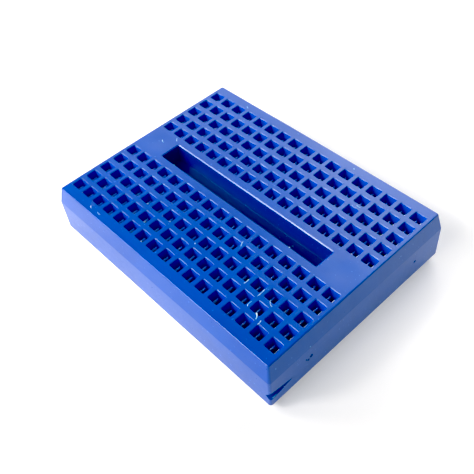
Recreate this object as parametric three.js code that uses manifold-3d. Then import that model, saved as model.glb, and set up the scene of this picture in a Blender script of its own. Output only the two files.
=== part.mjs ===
// Miniature solderless breadboard with 170 tie points. Units are millimetres, +Z is up.
// The origin is the middle of the underside. X runs along the columns' numbering, Y along one column.
//
// From the bottom: release liner, double-sided foam tape, moulded housing. Each column of five tie points
// has one sprung metal contact, held in a slot that is open towards the tape.

import * as THREE from "three";
import { mergeVertices } from "three/addons/utils/BufferGeometryUtils.js";
import Module from "manifold-3d";

const wasm = await Module();
wasm.setup();

// ---- tie-point grid ----
const PITCH = 2.54;
const COLUMNS = 17;
const ROWS = 5; // tie points of one column, in one bank
const INNER_ROW_Y = 1.5 * PITCH; // the two banks are three pitches apart
const HOLE_X = 1.75;
const HOLE_Y = 1.6;

// ---- housing ----
const LENGTH = 45.0;
const WIDTH = 34.2;
const HOUSING_HEIGHT = 8.4;
const CORNER_RADIUS = 0.4;
const CORNER_STEPS = 3; // flats round one corner
const BAND_HEIGHT = 2.9; // the upper part of the side walls leans inwards
const BAND_LEAN = 0.6;
const DECK = 1.0; // thickness of the plastic that the tie-point holes go through

// ---- centre channel ----
const CHANNEL_LENGTH = 31.8;
const CHANNEL_WIDTH = 3.3;
const CHANNEL_DEPTH = 3.2;

// ---- slots and contacts ----
const SLOT_WIDTH = 2.0;
const SLOT_LENGTH = (ROWS - 1) * PITCH + 2.2;
const FIT_GAP = 0.3; // free space round a contact
const TIP_GAP = 0.12; // between its tips and the deck
const METAL = 0.2; // sheet thickness
const CONTACT_LENGTH = SLOT_LENGTH - 2 * FIT_GAP;
const BASE_HALF = 0.75; // half widths of the folded contact, from its base to its tips
const PINCH_HALF = 0.28;
const TIP_HALF = 0.55;
const FOLD_HEIGHT = 1.6; // where the leaves start to lean together
const FLARE_HEIGHT = 1.1; // length of the flared tips, above the pinch
const SLIT_WIDTH = 0.5; // between neighbouring leaves

// ---- adhesive layers ----
const LINER_THICKNESS = 0.12;
const TAPE_THICKNESS = 0.86;
const BOND_LINE = 0.02; // clearance between the layers
const TAPE_INSET = 0.5; // from the housing's walls

// ---- marks on the +X end wall ----
const PIT_RADIUS = 0.25;
const PIT_DEPTH = 0.3;
const PIT_PLACES = [[-9.8, 5.0], [11.3, 5.25]]; // y, and distance below the top face
const NICK_LENGTH = 3.7; // wedge-shaped nick that opens at the front corner
const NICK_DEPTH = 0.4;
const NICK_TOP = 5.4; // below the top face
const NICK_TIP = 6.4;
const NICK_BOTTOM = 7.6;

// ---- levels ----
const TAPE_BOTTOM = LINER_THICKNESS + BOND_LINE;
const HOUSING_BOTTOM = TAPE_BOTTOM + TAPE_THICKNESS + BOND_LINE;
const TOP = HOUSING_BOTTOM + HOUSING_HEIGHT;
const SLOT_TOP = TOP - DECK;
const CONTACT_BOTTOM = HOUSING_BOTTOM + FIT_GAP;
const CONTACT_HEIGHT = SLOT_TOP - TIP_GAP - CONTACT_BOTTOM;
const BANK_MIDDLE_Y = INNER_ROW_Y + ((ROWS - 1) / 2) * PITCH;
const OVERCUT = 1.0; // how far a cutting body runs past the face it cuts

const plastic = new THREE.MeshStandardMaterial({ color: 0x1040c0, roughness: 0.38, metalness: 0 });
const springMetal = new THREE.MeshStandardMaterial({ color: 0xc8c0b4, roughness: 0.3, metalness: 1 });
const foam = new THREE.MeshStandardMaterial({ color: 0xf2f2ee, roughness: 0.9, metalness: 0 });
const paper = new THREE.MeshStandardMaterial({ color: 0xe6d9b4, roughness: 0.7, metalness: 0 });

// ---- joining and cutting ----

function toSolid(geometry) {
  const bare = geometry.index ? geometry.toNonIndexed() : geometry.clone();
  bare.deleteAttribute("normal");
  bare.deleteAttribute("uv");
  const welded = mergeVertices(bare, 1e-4);
  const vertProperties = new Float32Array(welded.attributes.position.array);
  const triVerts = new Uint32Array(welded.index.array);
  return new wasm.Manifold(new wasm.Mesh({ numProp: 3, vertProperties, triVerts }));
}

function toGeometry(solid) {
  const mesh = solid.getMesh();
  const geometry = new THREE.BufferGeometry();
  geometry.setAttribute("position", new THREE.BufferAttribute(new Float32Array(mesh.vertProperties), 3));
  geometry.setIndex(new THREE.BufferAttribute(new Uint32Array(mesh.triVerts), 1));
  geometry.computeVertexNormals();
  return geometry;
}

function block(sizeX, sizeY, sizeZ, x, y, z) {
  return new THREE.BoxGeometry(sizeX, sizeY, sizeZ).translate(x, y, z);
}

// A block given by its lowest and highest levels.
function blockBetween(sizeX, sizeY, x, y, bottom, top) {
  return block(sizeX, sizeY, top - bottom, x, y, (bottom + top) / 2);
}

// ---- the grid ----

const columnX = (column) => (column - (COLUMNS - 1) / 2) * PITCH;

function bankRows(side) {
  return Array.from({ length: ROWS }, (_, row) => side * (INNER_ROW_Y + row * PITCH));
}

// ---- housing ----

// Points of a rectangle with rounded corners, anticlockwise.
function roundedRing(halfX, halfY, z) {
  const ring = [];
  for (const [corner, signX, signY] of [[0, 1, 1], [1, -1, 1], [2, -1, -1], [3, 1, -1]]) {
    for (let step = 0; step <= CORNER_STEPS; step += 1) {
      const angle = (corner + step / CORNER_STEPS) * (Math.PI / 2);
      const x = signX * (halfX - CORNER_RADIUS) + CORNER_RADIUS * Math.cos(angle);
      const y = signY * (halfY - CORNER_RADIUS) + CORNER_RADIUS * Math.sin(angle);
      ring.push(new THREE.Vector3(x, y, z));
    }
  }
  return ring;
}

// A closed body through a stack of convex rings, lowest first.
function loft(rings) {
  const count = rings[0].length;
  const last = (rings.length - 1) * count;
  const triangles = [];
  for (let low = 0; low < last; low += count) {
    for (let i = 0; i < count; i += 1) {
      const next = (i + 1) % count;
      triangles.push(low + i, low + next, low + count + next);
      triangles.push(low + i, low + count + next, low + count + i);
    }
  }
  for (let i = 1; i + 1 < count; i += 1) {
    triangles.push(0, i + 1, i);
    triangles.push(last, last + i, last + i + 1);
  }
  const geometry = new THREE.BufferGeometry().setFromPoints(rings.flat());
  geometry.setIndex(triangles);
  return geometry;
}

function housingBlock() {
  const halfX = LENGTH / 2;
  const halfY = WIDTH / 2;
  return loft([
    roundedRing(halfX, halfY, HOUSING_BOTTOM),
    roundedRing(halfX, halfY, TOP - BAND_HEIGHT),
    roundedRing(halfX - BAND_LEAN, halfY - BAND_LEAN, TOP),
  ]);
}

// Small round pit in the +X end wall.
function pit([y, belowTop]) {
  const drill = new THREE.CylinderGeometry(PIT_RADIUS, PIT_RADIUS, 2 * PIT_DEPTH, 8);
  return drill.rotateZ(Math.PI / 2).translate(LENGTH / 2, y, TOP - belowTop);
}

// Wedge that is tall at the front corner and runs to a point along the +X end wall.
function nick() {
  const corner = -WIDTH / 2;
  const wedge = new THREE.Shape();
  wedge.moveTo(corner - OVERCUT, TOP - NICK_TOP);
  wedge.lineTo(corner - OVERCUT, TOP - NICK_BOTTOM);
  wedge.lineTo(corner, TOP - NICK_BOTTOM);
  wedge.lineTo(corner + NICK_LENGTH, TOP - NICK_TIP);
  wedge.lineTo(corner, TOP - NICK_TOP);
  const cutter = new THREE.ExtrudeGeometry(wedge, { depth: NICK_DEPTH + OVERCUT, bevelEnabled: false });
  // The outline's axes become Y and Z, and the extrusion runs along +X.
  cutter.applyMatrix4(new THREE.Matrix4().set(0, 0, 1, 0, 1, 0, 0, 0, 0, 1, 0, 0, 0, 0, 0, 1));
  return cutter.translate(LENGTH / 2 - NICK_DEPTH, 0, 0);
}

function housingGeometry() {
  const cutters = [...PIT_PLACES.map(pit), nick()];
  cutters.push(blockBetween(CHANNEL_LENGTH, CHANNEL_WIDTH, 0, 0, TOP - CHANNEL_DEPTH, TOP + OVERCUT));
  for (const side of [-1, 1]) {
    for (let column = 0; column < COLUMNS; column += 1) {
      const x = columnX(column);
      const y = side * BANK_MIDDLE_Y;
      cutters.push(blockBetween(SLOT_WIDTH, SLOT_LENGTH, x, y, HOUSING_BOTTOM - OVERCUT, SLOT_TOP));
      for (const rowY of bankRows(side)) {
        cutters.push(blockBetween(HOLE_X, HOLE_Y, x, rowY, SLOT_TOP - OVERCUT / 2, TOP + OVERCUT));
      }
    }
  }
  let housing = toSolid(housingBlock());
  for (const cutter of cutters) {
    housing = housing.subtract(toSolid(cutter));
  }
  return toGeometry(housing);
}

// ---- contact ----

// One strip folded into a trough. Each wall is slit into five leaves, which pinch a wire between them.
function contactGeometry() {
  const pinchHeight = CONTACT_HEIGHT - FLARE_HEIGHT;
  const outer = [
    [BASE_HALF, 0],
    [BASE_HALF, FOLD_HEIGHT],
    [PINCH_HALF, pinchHeight],
    [TIP_HALF, CONTACT_HEIGHT],
  ];
  const inner = [
    [TIP_HALF - METAL, CONTACT_HEIGHT],
    [PINCH_HALF - METAL, pinchHeight],
    [BASE_HALF - METAL, FOLD_HEIGHT],
    [BASE_HALF - METAL, METAL],
  ];
  const right = [...outer, ...inner];
  const left = right.map(([x, z]) => [-x, z]).reverse();
  const profile = new THREE.Shape([...right, ...left].map(([x, z]) => new THREE.Vector2(x, z)));
  const trough = new THREE.ExtrudeGeometry(profile, { depth: CONTACT_LENGTH, bevelEnabled: false });
  trough.rotateX(Math.PI / 2).translate(0, CONTACT_LENGTH / 2, 0);

  let contact = toSolid(trough);
  for (let slit = 1; slit < ROWS; slit += 1) {
    const y = (slit - ROWS / 2) * PITCH;
    const cutter = blockBetween(4 * BASE_HALF, SLIT_WIDTH, 0, y, FOLD_HEIGHT, CONTACT_HEIGHT + OVERCUT);
    contact = contact.subtract(toSolid(cutter));
  }
  return toGeometry(contact);
}

// ---- adhesive layers ----

function layerGeometry(thickness) {
  return new THREE.BoxGeometry(LENGTH - 2 * TAPE_INSET, WIDTH - 2 * TAPE_INSET, thickness);
}

// ---- assembly ----

function addPart(name, geometry, material, x, y, z) {
  const mesh = new THREE.Mesh(geometry, material);
  mesh.name = name;
  mesh.position.set(x, y, z);
  breadboard.add(mesh);
}

const breadboard = new THREE.Group();
addPart("housing", housingGeometry(), plastic, 0, 0, 0);

const contact = contactGeometry();
for (const [bank, side] of [["front", -1], ["back", 1]]) {
  for (let column = 0; column < COLUMNS; column += 1) {
    const number = String(column + 1).padStart(2, "0");
    const place = [columnX(column), side * BANK_MIDDLE_Y, CONTACT_BOTTOM];
    addPart(`contact_${bank}_${number}`, contact, springMetal, ...place);
  }
}

addPart("foam_tape", layerGeometry(TAPE_THICKNESS), foam, 0, 0, TAPE_BOTTOM + TAPE_THICKNESS / 2);
addPart("release_liner", layerGeometry(LINER_THICKNESS), paper, 0, 0, LINER_THICKNESS / 2);

export default breadboard;
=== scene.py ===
"""Looks of a miniature solderless breadboard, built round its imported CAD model.

Blender works in metres. The mesh code works in millimetres, in the model's frame: X along the long side,
Y from the front bank of tie points to the back bank, Z up from the surface that the board lies on.
"""

import math
import random

import bpy
from mathutils import Euler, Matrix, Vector, noise
from mathutils.geometry import delaunay_2d_cdt


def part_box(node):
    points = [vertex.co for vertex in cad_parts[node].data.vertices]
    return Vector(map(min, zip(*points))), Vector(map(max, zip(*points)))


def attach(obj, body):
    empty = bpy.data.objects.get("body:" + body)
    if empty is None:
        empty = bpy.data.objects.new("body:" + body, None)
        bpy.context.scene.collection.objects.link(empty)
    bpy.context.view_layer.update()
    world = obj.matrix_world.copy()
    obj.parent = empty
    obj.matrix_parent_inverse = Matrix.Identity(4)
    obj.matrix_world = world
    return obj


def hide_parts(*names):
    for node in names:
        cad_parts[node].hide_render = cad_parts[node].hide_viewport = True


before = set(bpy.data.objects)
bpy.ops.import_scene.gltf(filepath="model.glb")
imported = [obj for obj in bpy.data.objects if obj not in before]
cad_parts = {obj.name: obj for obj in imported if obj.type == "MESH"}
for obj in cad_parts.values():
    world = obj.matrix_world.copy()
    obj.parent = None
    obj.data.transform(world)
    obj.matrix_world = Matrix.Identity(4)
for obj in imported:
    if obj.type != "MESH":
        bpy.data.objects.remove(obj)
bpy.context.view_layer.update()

MM = 0.001


# ---------------------------------------------------------------- sizes, in millimetres


def box_mm(node):
    low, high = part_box(node)
    return low / MM, high / MM


housing_low, housing_high = box_mm("housing")
tape_low, tape_high = box_mm("foam_tape")
liner_low, liner_high = box_mm("release_liner")
contact_nodes = sorted(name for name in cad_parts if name.startswith("contact_"))
contact_low, contact_high = box_mm(contact_nodes[0])

PITCH = 2.54
ROWS = 5
INNER_ROW_Y = 1.5 * PITCH
HALF_X, HALF_Y = housing_high.x, housing_high.y
TOP, BOTTOM = housing_high.z, housing_low.z

HOLE_HALF = (0.875, 0.8)
HOLE_CORNER = 0.1
HOLE_LEAD = 0.1, 0.09  # width and depth of the sloping lead-in around a hole's mouth
HOLE_DRAFT = 0.02  # how far each wall of a hole leans in by its foot
DECK = 1.8  # thickness of the deck, and so the depth of the holes
SLOT_HALF = 1.0
SLOT_REACH = 1.1  # from the last tie point's middle to the slot's end
SLOT_CORNER = 0.15

WALL_CORNER = 0.4
BAND_HEIGHT = 2.9  # the upper part of the walls, which leans inwards
BAND_LEAN = 0.6
BREAK_RADIUS = 0.9  # of the bend between the upright and the leaning part
TOP_EDGE = 0.2
FOOT_EDGE = 0.15

CHANNEL_HALF_X, CHANNEL_HALF_Y = 15.9, 1.65
CHANNEL_CORNER = 0.15
CHANNEL_DEPTH = 3.2
CHANNEL_LEAD = 0.17, 0.14
CHANNEL_DRAFT = 0.06

LAND_X = 19.0  # middle of the plain land at each end of the channel
LAND_EDGE = 16.4  # the hollow's points start here, clear of the channel's rim
LAND_GRID = 0.55  # spacing of those points
SINK_RADIUS = 2.5  # the hollow in the middle of each land
SINK_DEPTH = 0.035

FLASH_ROOM = 0.03  # the deck lies this much low, so that the flash stays inside the CAD box
DROOP_X, DROOP_Y = 0.08, 0.05  # how much lower the deck is at its ends and at its sides
WAVE_LENGTH = 9.0
WAVE_DOWN, WAVE_IN = 0.02, 0.03  # unevenness of the deck and of the walls

METAL = 0.16  # sheet thickness of the contacts
CONTACT_HEIGHT = contact_high.z - contact_low.z
LEAF_SLIT = 0.5  # between neighbouring leaves
LEAF_FLAT = 0.35  # half width of a leaf's middle stretch
FOLD_HEIGHT = 1.6  # where the leaves start to lean together
PINCH_DEPTH = 1.05  # of the narrowest place, below the tips
TIP_NARROWING = 0.5  # share of its width that a leaf loses by its tip
CONTACT_PLAY = 0.05  # how far a contact may sit from the middle of its slot

column_x = sorted({round(sum(v.x for v in box_mm(n)) / 2, 4) for n in contact_nodes if "front" in n})
row_y = [side * (INNER_ROW_Y + row * PITCH) for side in (-1, 1) for row in range(ROWS)]


# ---------------------------------------------------------------- mesh tools


def rounded_path(corners, steps=4):
    """An open path through (u, v, radius) corners, where each inner corner becomes a tangent arc."""
    path = [Vector(corners[0][:2])]
    for before, corner, after in zip(corners, corners[1:], corners[2:]):
        point = Vector(corner[:2])
        back = (Vector(before[:2]) - point).normalized()
        ahead = (Vector(after[:2]) - point).normalized()
        opening = back.angle(ahead)
        if corner[2] <= 0 or opening > math.pi - 0.001:
            path.append(point)
            continue
        reach = corner[2] / math.tan(opening / 2)
        centre = point + (back + ahead).normalized() * (corner[2] / math.sin(opening / 2))
        start, end = point + back * reach - centre, point + ahead * reach - centre
        turn = start.angle_signed(end)
        for step in range(steps + 1):
            angle = -turn * step / steps
            spun = Vector((
                start.x * math.cos(angle) - start.y * math.sin(angle),
                start.x * math.sin(angle) + start.y * math.cos(angle),
            ))
            path.append(centre + spun)
    path.append(Vector(corners[-1][:2]))
    return path


def rounded_ring(centre, half, radius, z, arc=3, along=(1, 1)):
    """A rounded rectangle, counter-clockwise seen from above. along splits its straight stretches."""
    ring = []
    signs = ((1, 1), (-1, 1), (-1, -1), (1, -1))
    for quarter, (sign_x, sign_y) in enumerate(signs):
        middle = (centre[0] + sign_x * (half[0] - radius), centre[1] + sign_y * (half[1] - radius))
        for step in range(arc + 1):
            angle = (quarter + step / arc) * math.pi / 2
            ring.append((middle[0] + radius * math.cos(angle), middle[1] + radius * math.sin(angle), z))
        next_x, next_y = signs[(quarter + 1) % 4]
        last = ring[-1]
        first = (centre[0] + next_x * (half[0] - radius), centre[1] + next_y * (half[1] - radius))
        turn = (quarter + 1) * math.pi / 2
        first = (first[0] + radius * math.cos(turn), first[1] + radius * math.sin(turn), z)
        pieces = along[quarter % 2]
        for step in range(1, pieces):
            share = step / pieces
            ring.append(tuple(a + (b - a) * share for a, b in zip(last, first)))
    return ring


class Shell:
    """Gathers the points and faces of one closed piece."""

    def __init__(self):
        self.points = []
        self.faces = []

    def add(self, points):
        first = len(self.points)
        self.points.extend(tuple(p) for p in points)
        return list(range(first, len(self.points)))

    def bridge(self, ring, next_ring):
        count = len(ring)
        for i in range(count):
            j = (i + 1) % count
            self.faces.append((ring[i], ring[j], next_ring[j], next_ring[i]))

    def tunnel(self, rings):
        """Bridges a run of rings, and returns the first and the last as point numbers."""
        numbered = [self.add(ring) for ring in rings]
        for ring, next_ring in zip(numbered, numbered[1:]):
            self.bridge(ring, next_ring)
        return numbered[0], numbered[-1]

    def fill(self, outline, holes=(), spots=(), up=True):
        """A flat face inside outline, without the holes. spots are extra points inside it."""
        loops = [outline, *holes]
        numbers = [i for loop in loops for i in loop]
        z = self.points[outline[0]][2]
        numbers += self.add((x, y, z) for x, y in spots)
        polygons, start = [], 0
        for loop in loops:
            polygons.append(list(range(start, start + len(loop))))
            start += len(loop)
        flat = [Vector(self.points[i][:2]) for i in numbers]
        _, _, triangles, sources, _, owners = delaunay_2d_cdt(flat, [], polygons, 1, 1e-5)
        for triangle, owner in zip(triangles, owners):
            if owner == [0]:
                face = [numbers[sources[i][0]] for i in triangle]
                self.faces.append(face if up else face[::-1])

    def build(self, name, change=None):
        """Makes the object, in metres. change moves each point first."""
        points = [change(Vector(p)) if change else Vector(p) for p in self.points]
        mesh = bpy.data.meshes.new(name)
        mesh.from_pydata([p * MM for p in points], [], self.faces)
        mesh.validate()
        made = bpy.data.objects.new(name, mesh)
        bpy.context.scene.collection.objects.link(made)
        return made


def smooth(piece, angle=35):
    """Smooth shading that keeps flat faces flat."""
    piece.data.shade_smooth()
    piece.data.set_sharp_from_angle(angle=math.radians(angle))
    weigh = piece.modifiers.new("face_weights", "WEIGHTED_NORMAL")
    weigh.keep_sharp = True
    weigh.weight = 80


def smoothstep(low, high, value):
    share = min(max((value - low) / (high - low), 0), 1)
    return share * share * (3 - 2 * share)


# ---------------------------------------------------------------- housing


def mould_shape(p):
    """The unevenness of a moulding: the deck droops at its ends, and the walls and deck are a little wavy."""
    up = smoothstep(TOP - 4, TOP - 0.5, p.z)
    wave = 0.5 + 0.5 * noise.noise(p / WAVE_LENGTH)
    droop = FLASH_ROOM + DROOP_X * (p.x / HALF_X) ** 2 + DROOP_Y * (p.y / HALF_Y) ** 2
    sink = sum(
        SINK_DEPTH * (1 - min((p.x - x) ** 2 + p.y**2, SINK_RADIUS**2) / SINK_RADIUS**2) ** 2
        for x in (-LAND_X, LAND_X)
    )
    lower = up * (droop + WAVE_DOWN * wave + sink * smoothstep(TOP - 0.6, TOP - 0.1, p.z))
    inward = WAVE_IN * wave
    return Vector((p.x * (1 - inward / HALF_X), p.y * (1 - inward / HALF_Y), p.z - lower))


def outer_rings():
    """The walls from the foot to the deck: upright, then leaning inwards, with rounded edges."""
    break_z = TOP - BAND_HEIGHT
    profile = rounded_path(
        [
            (0.5, BOTTOM, 0),
            (0, BOTTOM, FOOT_EDGE),
            (0, break_z, BREAK_RADIUS),
            (BAND_LEAN, TOP, TOP_EDGE),
            (BAND_LEAN + 0.3, TOP, 0),
        ],
        steps=5,
    )
    rings = []
    for inset, z in profile:
        half = (HALF_X - inset, HALF_Y - inset)
        radius = WALL_CORNER - 0.2 * inset
        rings.append(rounded_ring((0, 0), half, radius, z, arc=5, along=(17, 13)))
    return rings


def pocket_rings(centre, half, corner, profile, arc, along=(1, 1)):
    """Walls of a pocket. The profile gives (growth, z) from its mouth downwards."""
    rings = []
    for grow, z in profile:
        size = (half[0] + grow, half[1] + grow)
        rings.append(rounded_ring(centre, size, corner + max(grow, 0), z, arc=arc, along=along))
    return rings


def add_bank(shell, side, rims, feet):
    """One bank of tie points: square holes through the deck, and under each column a slot."""
    ceiling = TOP - DECK
    wide, deep = HOLE_LEAD
    hole_profile = rounded_path(
        [
            (wide + 0.05, TOP, 0),
            (wide, TOP, 0.03),
            (0, TOP - deep, 0.04),
            (-HOLE_DRAFT, ceiling, 0),
        ],
        steps=2,
    )
    rows = [y for y in row_y if y * side > 0]
    middle_y = sum(rows) / len(rows)
    half = (SLOT_HALF, (ROWS - 1) / 2 * PITCH + SLOT_REACH)
    for x in column_x:
        mouths = []
        for y in rows:
            rings = pocket_rings((x, y), HOLE_HALF, HOLE_CORNER, hole_profile, arc=2)
            rim, mouth = shell.tunnel(rings)
            rims.append(rim)
            mouths.append(mouth)
        slot = [(0, ceiling), (0, BOTTOM + 0.2), (0.08, BOTTOM)]
        roof, foot = shell.tunnel(pocket_rings((x, middle_y), half, SLOT_CORNER, slot, arc=2))
        shell.fill(roof, mouths, up=False)
        feet.append(foot)


def make_housing():
    shell = Shell()
    foot, deck_edge = shell.tunnel(outer_rings())
    rims, feet = [], []
    for side in (-1, 1):
        add_bank(shell, side, rims, feet)

    floor_z = TOP - CHANNEL_DEPTH
    wide, deep = CHANNEL_LEAD
    channel = rounded_path(
        [
            (wide + 0.06, TOP, 0),
            (wide, TOP, 0.05),
            (0, TOP - deep, 0.06),
            (-CHANNEL_DRAFT, floor_z, 0.06),
            (-0.6, floor_z, 0),
        ],
        steps=4,
    )
    half = (CHANNEL_HALF_X, CHANNEL_HALF_Y)
    rim, floor = shell.tunnel(
        pocket_rings((0, 0), half, CHANNEL_CORNER, channel, arc=3, along=(13, 1))
    )
    rims.append(rim)
    shell.fill(floor, up=True)

    spots = [
        (sign * LAND_X + LAND_GRID * i, LAND_GRID * j)
        for sign in (-1, 1)
        for i in range(-4, 5)
        for j in range(-4, 5)
        if i * i + j * j < 22 and LAND_EDGE < LAND_X + sign * LAND_GRID * i < HALF_X - 1.4
    ]
    shell.fill(deck_edge, rims, spots)
    shell.fill(foot, feet, up=False)
    return shell.build("housing_shell", mould_shape)


# ---------------------------------------------------------------- flash, pits and nick


def add_bead(shell, centre, radii, sides=8):
    """Adds a small egg-shaped solid."""
    x, y, z = centre
    rings = []
    for step in range(1, 5):
        angle = math.pi * step / 5 - math.pi / 2
        rings.append([
            (
                x + radii[0] * math.cos(angle) * math.cos(math.tau * i / sides),
                y + radii[1] * math.cos(angle) * math.sin(math.tau * i / sides),
                z + radii[2] * math.sin(angle),
            )
            for i in range(sides)
        ])
    low, high = shell.tunnel(rings)
    cap(shell, low, high, (x, y, z - radii[2]), (x, y, z + radii[2]))


def cap(shell, low, high, low_pole, high_pole):
    """Closes a tunnel with a pole at each end."""
    first, last = shell.add([low_pole, high_pole])
    for i, j in zip(low, low[1:] + low[:1]):
        shell.faces.append((j, i, first))
    for i, j in zip(high, high[1:] + high[:1]):
        shell.faces.append((i, j, last))


def add_thread(shell, course, radius, sides=6):
    """Adds a thin sliver, tapered to both ends. A point of its course is x, y and, where needed, depth."""
    points = [Vector((x, y, TOP - sum(depth))) for x, y, *depth in course]
    fine = []
    for i in range(len(points) - 1):
        before, after = points[max(i - 1, 0)], points[min(i + 2, len(points) - 1)]
        for step in range(4):
            t = step / 4
            a, b = points[i], points[i + 1]
            bend = (b - before) / 2, (after - a) / 2
            fine.append(
                a * (2 * t**3 - 3 * t**2 + 1) + bend[0] * (t**3 - 2 * t**2 + t)
                + b * (3 * t**2 - 2 * t**3) + bend[1] * (t**3 - t**2)
            )
    fine.append(points[-1])
    rings = []
    for i in range(1, len(fine) - 1):
        ahead = (fine[i + 1] - fine[i - 1]).normalized()
        aside = Vector((-ahead.y, ahead.x, 0)).normalized()
        share = i / (len(fine) - 1)
        wide = radius * (0.55 + 0.45 * math.sin(math.pi * share)) * (1 + 0.3 * math.sin(9 * share))
        rings.append([
            fine[i] + aside * wide * math.cos(math.tau * k / sides)
            + Vector((0, 0, 0.5 * wide * math.sin(math.tau * k / sides)))
            for k in range(sides)
        ])
    low, high = shell.tunnel(rings[::-1])
    cap(shell, low, high, fine[-1], fine[0])


def combine(piece, tool, operation):
    """Cuts tool out of piece, or joins it on, and removes tool."""
    step = piece.modifiers.new("combine", "BOOLEAN")
    step.operation = operation
    step.solver = "EXACT"
    step.object = tool
    step.material_mode = "TRANSFER"
    result = piece.evaluated_get(bpy.context.evaluated_depsgraph_get())
    old = piece.data
    made = bpy.data.meshes.new_from_object(result)
    piece.modifiers.remove(step)
    piece.data = made
    made.name = piece.name
    bpy.data.meshes.remove(old)
    bpy.data.objects.remove(tool)


# Pits in the +X end wall: y, depth below the deck, radius. They stay clear of each other.
PITS = ((-9.7, 5.0, 0.3), (-10.25, 5.32, 0.2), (-10.62, 4.95, 0.15), (11.3, 5.25, 0.26))
BEADS = (  # specks of flash: middle's x and y, depth below the deck's top, radii
    (21.82, 1.5, 0.13, (0.07, 0.42, 0.06)),
    (21.8, -6.1, 0.14, (0.08, 0.16, 0.08)),
    (21.7, -10.1, 0.1, (0.11, 0.14, 0.07)),
    (22.4, -9.9, 2.75, (0.09, 0.17, 0.13)),
    (22.44, -9.3, 4.3, (0.04, 0.2, 0.1)),
    (-9.4, -16.42, 0.12, (0.16, 0.06, 0.06)),
    (-12.9, -1.74, 0.03, (0.12, 0.06, 0.05)),
    (11.2, -1.72, 0.03, (0.13, 0.07, 0.05)),
    (1.4, -9.95, 0.0, (0.1, 0.1, 0.05)),
    (-4.3, -9.7, 0.0, (0.1, 0.07, 0.05)),
    (-6.9, -12.2, 0.0, (0.07, 0.1, 0.05)),
    (-9.4, -9.6, 0.02, (0.09, 0.07, 0.05)),
    (-4.4, -14.75, 0.02, (0.09, 0.07, 0.05)),
    (-14.6, 5.55, 0.0, (0.1, 0.06, 0.04)),
    (7.7, 15.6, 0.0, (0.09, 0.09, 0.04)),
    (-6.7, -0.3, CHANNEL_DEPTH, (0.12, 0.1, 0.09)),
    (9.5, 0.6, CHANNEL_DEPTH, (0.13, 0.11, 0.1)),
)
THREADS = (  # slivers of flash on the deck, and one along the nick: radius, course
    (0.045, ((13.72, -8.86), (13.8, -9.57), (13.81, -10.3))),
    (0.05, ((13.84, -11.26), (13.81, -11.89), (14.0, -12.23))),
    (0.04, ((15.45, -9.54), (15.62, -9.84), (16.01, -10.13), (16.29, -10.15))),
    (0.085, ((15.46, -12.08), (15.84, -12.36), (16.07, -12.65), (16.12, -12.89))),
    (0.06, ((16.71, -12.53), (16.83, -12.88), (16.83, -13.26))),
    (0.05, ((5.9, -5.2), (6.05, -5.6), (6.35, -6.05))),
    (0.05, ((11.1, -9.1), (11.16, -9.6), (11.1, -10.1))),
    (0.05, ((-13.6, -15.6), (-13.2, -15.75), (-12.9, -15.65))),
    (0.05, ((-15.4, -15.5), (-15.1, -15.75), (-14.9, -15.8))),
    (0.05, ((-18.9, 0.8), (-18.5, 0.55), (-18.2, 0.5))),
    (0.05, ((-17.4, 2.6), (-17.0, 2.2), (-16.8, 2.1))),
    (0.05, ((12.7, 10.2), (13.1, 10.14), (13.4, 10.2))),
    (0.08, ((22.36, -16.75, 6.82), (22.38, -15.9, 6.7), (22.39, -14.9, 6.48), (22.39, -14.1, 6.32))),
    (0.05, ((-14.8, 15.5), (-14.5, 15.3), (-14.3, 15.3))),
)
NICK_TIP = (HALF_X + 0.02, 4.2 - HALF_Y, TOP - 6.1)
NICK_MOUTH = ((0.4, 4.6), (-0.95, 6.3), (0.4, 7.5))  # out of the wall, depth below the deck


def make_nick():
    """A three-sided gouge that opens at the front corner and runs to a point along the wall."""
    mouth_y = -HALF_Y - 0.6
    mouth = [(HALF_X + out, mouth_y, TOP - depth) for out, depth in NICK_MOUTH]
    wedge = Shell()
    wedge.add([NICK_TIP, *mouth])
    wedge.faces = [(1, 2, 3), (0, 2, 1), (0, 3, 2), (0, 1, 3)]
    return wedge.build("nick")


def add_marks(piece):
    combine(piece, make_nick(), "DIFFERENCE")
    holes = Shell()
    for y, depth, radius in PITS:
        add_bead(holes, (HALF_X, y, TOP - depth), (0.3, radius, radius))
    combine(piece, holes.build("pits"), "DIFFERENCE")
    flash = Shell()
    for x, y, depth, radii in BEADS:
        add_bead(flash, (x, y, TOP - depth), radii)
    for radius, course in THREADS:
        add_thread(flash, course, radius)
    slivers = flash.build("flash", mould_shape)
    paint(slivers, pale_flash())
    combine(piece, slivers, "UNION")


# ---------------------------------------------------------------- contacts


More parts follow.
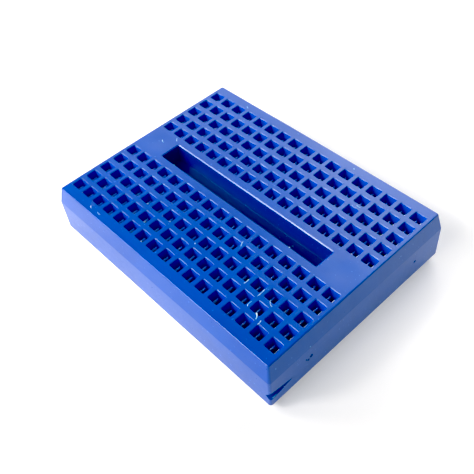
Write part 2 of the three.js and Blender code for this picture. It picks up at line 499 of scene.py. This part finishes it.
def make_contact_mesh():
    """One folded strip of spring metal, slit into five pairs of leaves. Its origin is under its middle."""
    length = contact_high.y - contact_low.y
    base_half = (contact_high.x - contact_low.x) / 2 - METAL / 2
    leaf_half = (PITCH - LEAF_SLIT) / 2
    pinch_z = CONTACT_HEIGHT - PINCH_DEPTH
    half_path = rounded_path(
        [
            (0, METAL / 2, 0),
            (base_half, METAL / 2, 0.35),
            (base_half, FOLD_HEIGHT, 1.2),
            (METAL / 2 + 0.03, pinch_z, 0.35),
            (0.3, CONTACT_HEIGHT - 0.5, 0.25),
            (0.44, CONTACT_HEIGHT - 0.06, 0),
        ],
        steps=4,
    )
    path = [Vector((-p.x, p.y)) for p in half_path[:0:-1]] + half_path
    lines = [-length / 2]
    for row in range(ROWS):
        middle = (row - (ROWS - 1) / 2) * PITCH
        left = max(middle - leaf_half, -length / 2)
        right = min(middle + leaf_half, length / 2)
        lines += [left, middle - LEAF_FLAT, middle + LEAF_FLAT, right]
    lines = sorted({round(y, 4) for y in [*lines, length / 2]})

    def place(point, y):
        """Leaves narrow towards their tips."""
        row = min(max(round(y / PITCH + (ROWS - 1) / 2), 0), ROWS - 1)
        middle = (row - (ROWS - 1) / 2) * PITCH
        narrow = 1 - TIP_NARROWING * smoothstep(pinch_z - 0.6, CONTACT_HEIGHT - 0.3, point.y)
        return (point.x, middle + (y - middle) * narrow, point.y)

    shell = Shell()
    grid = [shell.add(place(point, y) for y in lines) for point in path]
    for i, (a, b) in enumerate(zip(grid, grid[1:])):
        leaf = min(path[i].y, path[i + 1].y) > FOLD_HEIGHT - 0.01
        for j in range(len(lines) - 1):
            middle = (lines[j] + lines[j + 1]) / 2
            row_offset = abs((middle / PITCH + (ROWS - 1) / 2 + 0.5) % 1 - 0.5) * PITCH
            if leaf and row_offset > leaf_half:
                continue
            shell.faces.append((a[j], a[j + 1], b[j + 1], b[j]))
    used = sorted({i for face in shell.faces for i in face})
    number = {old: new for new, old in enumerate(used)}
    mesh = bpy.data.meshes.new("contact_strip")
    points = [Vector(shell.points[i]) * MM for i in used]
    mesh.from_pydata(points, [], [[number[i] for i in face] for face in shell.faces])
    return mesh


def make_contacts():
    strip = make_contact_mesh()
    shake = random.Random(17)
    made = []
    for node in contact_nodes:
        low, high = box_mm(node)
        piece = bpy.data.objects.new(node.replace("contact", "spring"), strip.copy())
        bpy.context.scene.collection.objects.link(piece)
        piece.location = Vector((
            (low.x + high.x) / 2 + shake.uniform(-CONTACT_PLAY, CONTACT_PLAY),
            (low.y + high.y) / 2 + shake.uniform(-CONTACT_PLAY, CONTACT_PLAY),
            low.z,
        )) * MM
        thicken = piece.modifiers.new("sheet", "SOLIDIFY")
        thicken.thickness = METAL * MM
        thicken.offset = 0
        thicken.use_even_offset = True
        edge = piece.modifiers.new("edge", "BEVEL")
        edge.width = 0.025 * MM
        edge.segments = 1
        edge.limit_method = "ANGLE"
        edge.angle_limit = math.radians(50)
        piece.data.shade_smooth()
        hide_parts(node)
        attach(piece, "board")
        made.append(piece)
    return made


# ---------------------------------------------------------------- tape and liner


def make_tape():
    """Foam slab. Its cut sides are a little hollow and uneven."""
    shell = Shell()
    half = (tape_high.x, tape_high.y)
    levels = 6
    rings = []
    for level in range(levels + 1):
        share = level / levels
        inset = 0.02 + 0.05 * math.sin(math.pi * share)
        z = tape_low.z + (tape_high.z - tape_low.z) * share
        size = (half[0] - inset, half[1] - inset)
        rings.append(rounded_ring((0, 0), size, 0.12, z, arc=2, along=(90, 70)))
    foot, head = shell.tunnel(rings)
    shell.fill(foot, up=False)
    shell.fill(head, up=True)

    def rough(p):
        cut = 0.03
        if 0 < p.z - tape_low.z < tape_high.z - tape_low.z:
            cut = 0.07 * (0.5 + 0.5 * noise.noise(p * 2.2))
        return Vector((p.x * (1 - cut / half[0]), p.y * (1 - cut / half[1]), p.z))

    return shell.build("tape_pad", rough)


def make_liner():
    """Release paper, cut together with the tape."""
    shell = Shell()
    half = (liner_high.x, liner_high.y)
    thickness = liner_high.z - liner_low.z
    edge = 0.03
    profile = rounded_path(
        [(0.1, 0, 0), (0, 0, edge), (0, thickness, edge), (0.1, thickness, 0)], steps=2
    )
    rings = []
    for inset, z in profile:
        size = (half[0] - inset, half[1] - inset)
        rings.append(rounded_ring((0, 0), size, 0.2 - inset, liner_low.z + z, arc=3, along=(44, 33)))
    foot, head = shell.tunnel(rings)
    shell.fill(foot, up=False)
    shell.fill(head, up=True)

    def rough(p):
        trim = 0.03 * (0.5 + 0.5 * noise.noise(Vector((p.x, p.y, 0)) * 0.9))
        return Vector((p.x * (1 - trim / half[0]), p.y * (1 - trim / half[1]), p.z))

    return shell.build("liner_sheet", rough)


# ---------------------------------------------------------------- materials


RANGE_SOCKETS = ("From Min", "From Max", "To Min", "To Max")


class Nodes:
    """Short calls for building one material."""

    def __init__(self, name, **surface):
        self.material = bpy.data.materials.new(name)
        self.material.use_nodes = True
        self.tree = self.material.node_tree
        self.shader = self.tree.nodes["Principled BSDF"]
        for socket, value in surface.items():
            self.shader.inputs[socket.replace("_", " ")].default_value = value
        self.place = self.node("ShaderNodeTexCoord").outputs["Object"]

    def node(self, kind, **settings):
        made = self.tree.nodes.new(kind)
        for key, value in settings.items():
            setattr(made, key, value)
        return made

    def link(self, source, target):
        self.tree.links.new(source, target)

    def noise(self, scale, detail=3.0, roughness=0.5, stretch=None):
        made = self.node("ShaderNodeTexNoise")
        made.inputs["Scale"].default_value = scale
        made.inputs["Detail"].default_value = detail
        made.inputs["Roughness"].default_value = roughness
        self.link(self.stretched(stretch), made.inputs["Vector"])
        return made.outputs["Fac"]

    def stretched(self, stretch):
        if stretch is None:
            return self.place
        made = self.node("ShaderNodeMapping")
        made.inputs["Scale"].default_value = stretch
        self.link(self.place, made.inputs["Vector"])
        return made.outputs["Vector"]

    def band(self, value, low, high, to_low=0.0, to_high=1.0):
        made = self.node("ShaderNodeMapRange", interpolation_type="SMOOTHSTEP")
        self.link(value, made.inputs["Value"])
        for name, number in zip(RANGE_SOCKETS, (low, high, to_low, to_high)):
            made.inputs[name].default_value = number
        return made.outputs["Result"]

    def maths(self, operation, a, b):
        made = self.node("ShaderNodeMath", operation=operation)
        for socket, value in zip(made.inputs, (a, b)):
            if isinstance(value, (int, float)):
                socket.default_value = value
            else:
                self.link(value, socket)
        return made.outputs[0]

    def axes(self):
        """X, Y and Z in the object's own frame, in metres."""
        made = self.node("ShaderNodeSeparateXYZ")
        self.link(self.place, made.inputs["Vector"])
        return tuple(made.outputs)

    def between(self, value, low, high, soft):
        """One inside the limits, given in mm, and nothing outside them."""
        rise = self.band(value, (low - soft) * MM, low * MM)
        fall = self.band(value, high * MM, (high + soft) * MM, 1, 0)
        return self.maths("MULTIPLY", rise, fall)

    def zone(self, across, along, height):
        """One inside the limits on |X|, |Y| and Z, each given as low, high and soft border in mm."""
        x, y, z = self.axes()
        inside = self.between(self.maths("ABSOLUTE", y, 0), *along)
        inside = self.maths("MULTIPLY", inside, self.between(self.maths("ABSOLUTE", x, 0), *across))
        return self.maths("MULTIPLY", inside, self.between(z, *height))

    def mix(self, share, a, b):
        made = self.node("ShaderNodeMix", data_type="RGBA")
        self.link(share, made.inputs["Factor"])
        for name, colour in (("A", a), ("B", b)):
            socket = next(s for s in made.inputs if s.name == name and s.type == "RGBA")
            if isinstance(colour, tuple):
                socket.default_value = (*colour, 1)
            else:
                self.link(colour, socket)
        return next(s for s in made.outputs if s.type == "RGBA")

    def bump(self, height, strength, distance):
        made = self.node("ShaderNodeBump")
        made.inputs["Strength"].default_value = strength
        made.inputs["Distance"].default_value = distance
        self.link(height, made.inputs["Height"])
        if self.shader.inputs["Normal"].links:
            self.link(self.shader.inputs["Normal"].links[0].from_socket, made.inputs["Normal"])
        self.link(made.outputs["Normal"], self.shader.inputs["Normal"])

    def drive(self, socket, value):
        self.link(value, self.shader.inputs[socket])


# The photograph shows the holes' walls lighter than the deck, and the channel darker. The real plastic
# is surely one colour, so these base colours are painted: painted light on the holes' walls, for light
# that passes through the thin plastic, and painted shade in the channel.
HOLE_WALL_PAINTED_LIGHT = 0.014, 0.105, 0.64
HOLE_ZONE = (-1, 21.3, 0.2), (2.5, 16, 0.3), (TOP - 1.9, TOP - 0.27, 0.04)
CHANNEL_SHADE = 0.0010, 0.036, 0.28
CHANNEL_ZONE = (-1, 16, 0.1), (-1, 1.7, 0.1), (4, TOP - 0.4, 0.2)


def blue_plastic():
    """Moulded ABS: satin, with faint flow marks, a fine texture and pale specks."""
    m = Nodes(
        "blue_abs",
        IOR=1.65,
        Subsurface_Weight=0.15,
        Subsurface_Scale=0.0005,
        Subsurface_Radius=(0.1, 0.3, 1.0),
    )
    flow = m.noise(90, 3, 0.6, stretch=(1, 2.2, 1))
    fine = m.noise(5200, 2)
    grain = m.noise(1900, 3)
    base = m.mix(m.band(flow, 0.35, 0.65), (0.0010, 0.054, 0.38), (0.0014, 0.064, 0.42))
    # Painted light: the holes' walls get a lighter blue.
    base = m.mix(m.zone(*HOLE_ZONE), base, HOLE_WALL_PAINTED_LIGHT)
    # Painted shade: the channel's walls and floor get a darker blue.
    base = m.mix(m.zone(*CHANNEL_ZONE), base, CHANNEL_SHADE)
    speck = m.band(m.noise(2600, 1), 0.72, 0.78)
    m.drive("Base Color", m.mix(speck, base, (0.05, 0.18, 0.62)))
    m.drive("Roughness", m.maths("ADD", m.maths("MULTIPLY", grain, 0.1), 0.25))
    m.bump(flow, 0.3, 0.00012)
    m.bump(m.noise(750, 2), 0.1, 0.00003)
    m.bump(fine, 0.1, 0.00001)
    return m.material


def pale_flash():
    """Thin slivers of the same plastic, whitened where they were torn."""
    m = Nodes("pale_flash", IOR=1.5)
    cloud = m.noise(1500, 2)
    m.drive("Base Color", m.mix(m.band(cloud, 0.35, 0.7), (0.16, 0.50, 0.80), (0.70, 0.84, 0.92)))
    m.drive("Roughness", m.band(cloud, 0.3, 0.7, 0.4, 0.6))
    m.bump(cloud, 0.3, 0.00002)
    return m.material


def spring_metal():
    """Nickel-plated bronze strip with rolling marks. Its faces are painted dark as shade, and its leaves'
    tips near-white as a painted highlight.
    """
    m = Nodes("spring_strip", Metallic=1.0)
    rolled = m.noise(2500, 2, 0.5, stretch=(1, 0.08, 1))
    height = m.axes()[2]
    painted_tip_highlight = m.band(height, (CONTACT_HEIGHT - 0.28) * MM, (CONTACT_HEIGHT - 0.12) * MM)
    # Painted shade: a dark metal colour on the faces. Painted highlight: near-white at the tips.
    face = m.mix(rolled, (0.30, 0.28, 0.25), (0.44, 0.41, 0.38))
    m.drive("Base Color", m.mix(painted_tip_highlight, face, (0.96, 0.95, 0.93)))
    m.drive("Roughness", m.band(rolled, 0.3, 0.7, 0.22, 0.38))
    m.bump(rolled, 0.3, 0.00001)
    return m.material


def white_foam():
    """Fine-celled foam."""
    m = Nodes("white_foam", IOR=1.45)
    cells = m.node("ShaderNodeTexVoronoi")
    cells.inputs["Scale"].default_value = 4500
    m.link(m.place, cells.inputs["Vector"])
    cloud = m.noise(250, 3)
    m.drive("Base Color", m.mix(cloud, (0.80, 0.80, 0.77), (0.88, 0.88, 0.86)))
    m.drive("Roughness", m.band(cloud, 0.3, 0.7, 0.75, 0.9))
    m.bump(cells.outputs["Distance"], 0.5, 0.00006)
    return m.material


def release_paper():
    """Coated kraft paper with long fibres."""
    m = Nodes("release_paper", IOR=1.45)
    fibres = m.noise(1800, 4, 0.7, stretch=(1, 0.35, 1))
    cloud = m.noise(160, 3)
    tone = m.mix(fibres, (0.66, 0.52, 0.31), (0.80, 0.68, 0.47))
    m.drive("Base Color", m.mix(m.band(cloud, 0.4, 0.8), tone, (0.74, 0.62, 0.40)))
    m.drive("Roughness", m.band(fibres, 0.3, 0.7, 0.38, 0.55))
    m.bump(fibres, 0.3, 0.00002)
    return m.material


TABLE_PAINTED_SHADE = 16 * MM, 46 * MM  # X - Y where the table's painted shade starts, and where it is darkest


def white_table():
    """Matt white, a little luminous, and painted darker on the camera's side as shade."""
    m = Nodes("white_table", IOR=1.45, Emission_Color=(1, 0.97, 0.93, 1), Emission_Strength=0.3)
    cloud = m.noise(9, 2)
    x, y, _ = m.axes()
    painted_shade = m.band(m.maths("SUBTRACT", x, y), *TABLE_PAINTED_SHADE)
    white = m.mix(cloud, (0.86, 0.86, 0.865), (0.89, 0.89, 0.89))
    # Painted shade: grey towards the camera's side.
    m.drive("Base Color", m.mix(painted_shade, white, (0.68, 0.68, 0.68)))
    m.drive("Roughness", m.band(cloud, 0.3, 0.7, 0.55, 0.7))
    return m.material


def paint(piece, material):
    piece.data.materials.clear()
    piece.data.materials.append(material)


# ---------------------------------------------------------------- pieces


housing = make_housing()
paint(housing, blue_plastic())
add_marks(housing)
smooth(housing)
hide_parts("housing")
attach(housing, "board")

springs = make_contacts()
metal = spring_metal()
for spring in springs:
    paint(spring, metal)

tape = make_tape()
smooth(tape)
paint(tape, white_foam())
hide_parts("foam_tape")
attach(tape, "board")

liner = make_liner()
smooth(liner)
paint(liner, release_paper())
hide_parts("release_liner")
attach(liner, "liner")


# ---------------------------------------------------------------- table, lights and camera


TABLE_GAP = 0.00002  # in metres, so that the liner's lower face and the table don't coincide


def make_table(size=4.0):
    mesh = bpy.data.meshes.new("table")
    half = size / 2
    corners = [(-half, -half, 0), (half, -half, 0), (half, half, 0), (-half, half, 0)]
    mesh.from_pydata(corners, [], [(0, 1, 2, 3)])
    table = bpy.data.objects.new("table", mesh)
    bpy.context.scene.collection.objects.link(table)
    table.location.z = -TABLE_GAP
    paint(table, white_table())


def panel_light(name, middle, size, radiance):
    """A soft rectangular light that faces the board. radiance is how bright its surface looks."""
    light = bpy.data.lights.new(name, "AREA")
    light.shape = "RECTANGLE"
    light.size, light.size_y = size
    light.energy = radiance * math.pi * size[0] * size[1]
    lamp = bpy.data.objects.new(name, light)
    bpy.context.scene.collection.objects.link(lamp)
    lamp.location = middle
    facing = Vector(LIGHT_TARGET) - Vector(middle)
    lamp.rotation_euler = facing.to_track_quat("-Z", "Y").to_euler()


def light_scene():
    """A grey world, dark overhead and pale lower down, and the soft panels."""
    world = bpy.data.worlds.new("studio")
    world.use_nodes = True
    tree = world.node_tree
    direction = tree.nodes.new("ShaderNodeTexCoord").outputs["Generated"]
    height = tree.nodes.new("ShaderNodeSeparateXYZ")
    tree.links.new(direction, height.inputs["Vector"])
    fade = tree.nodes.new("ShaderNodeMapRange")
    tree.links.new(height.outputs["Z"], fade.inputs["Value"])
    for socket, value in zip(RANGE_SOCKETS, WORLD_FADE):
        fade.inputs[socket].default_value = value
    tree.links.new(fade.outputs["Result"], tree.nodes["Background"].inputs["Strength"])
    tree.nodes["Background"].inputs["Color"].default_value = (1, 1, 1, 1)
    bpy.context.scene.world = world
    for name, middle, size, radiance in LIGHTS:
        panel_light(name, middle, size, radiance)


WORLD_FADE = (0.2, 0.45, 0.7, 0.05)  # direction's Z where the fade starts and ends, strengths there
LIGHT_TARGET = (0, 0, 0.005)  # in metres, like the lights
LIGHTS = (  # name, middle and size in metres, radiance
    ("near_left", (-0.10, -0.08, 0.09), (0.06, 0.06), 9.0),
    ("key", (-0.276, -0.478, 0.431), (0.14, 0.14), 36.0),
    ("front_high", (-0.069, -0.49, 0.495), (0.3, 0.34), 6.6),
    ("front_low", (0.06, -0.677, 0.169), (0.3, 0.26), 1.4),
    ("left_low", (-0.622, -0.264, 0.181), (0.3, 0.26), 2.4),
    ("window_left", (-0.45, 0.36, 0.29), (0.38, 0.36), 2.2),
    ("window_middle", (-0.12, 0.36, 0.29), (0.28, 0.36), 3.3),
    ("window_right", (0.2, 0.36, 0.29), (0.34, 0.36), 0.3),
    ("overhead", (0.0, 0.0, 0.7), (0.35, 0.35), 0.4),
)

CAMERA_PLACE = (51.985, -42.848, TOP + 68.199)
CAMERA_TURN = (41.3193, 4.3039, 46.6110)  # degrees
CAMERA_LENS = 50.97
BLACK_LEVEL = (0.06, 0.026, 0.0)


def add_camera():
    camera = bpy.data.cameras.new("camera")
    camera.sensor_width = 36
    camera.lens = CAMERA_LENS
    camera.clip_start = 0.005
    holder = bpy.data.objects.new("camera", camera)
    bpy.context.scene.collection.objects.link(holder)
    holder.location = Vector(CAMERA_PLACE) * MM
    holder.rotation_euler = Euler([math.radians(a) for a in CAMERA_TURN])
    bpy.context.scene.camera = holder


make_table()
light_scene()
add_camera()
view = bpy.context.scene.view_settings
view.view_transform = "Standard"
view.use_curve_mapping = True
view.curve_mapping.black_level = BLACK_LEVEL
view.curve_mapping.update()
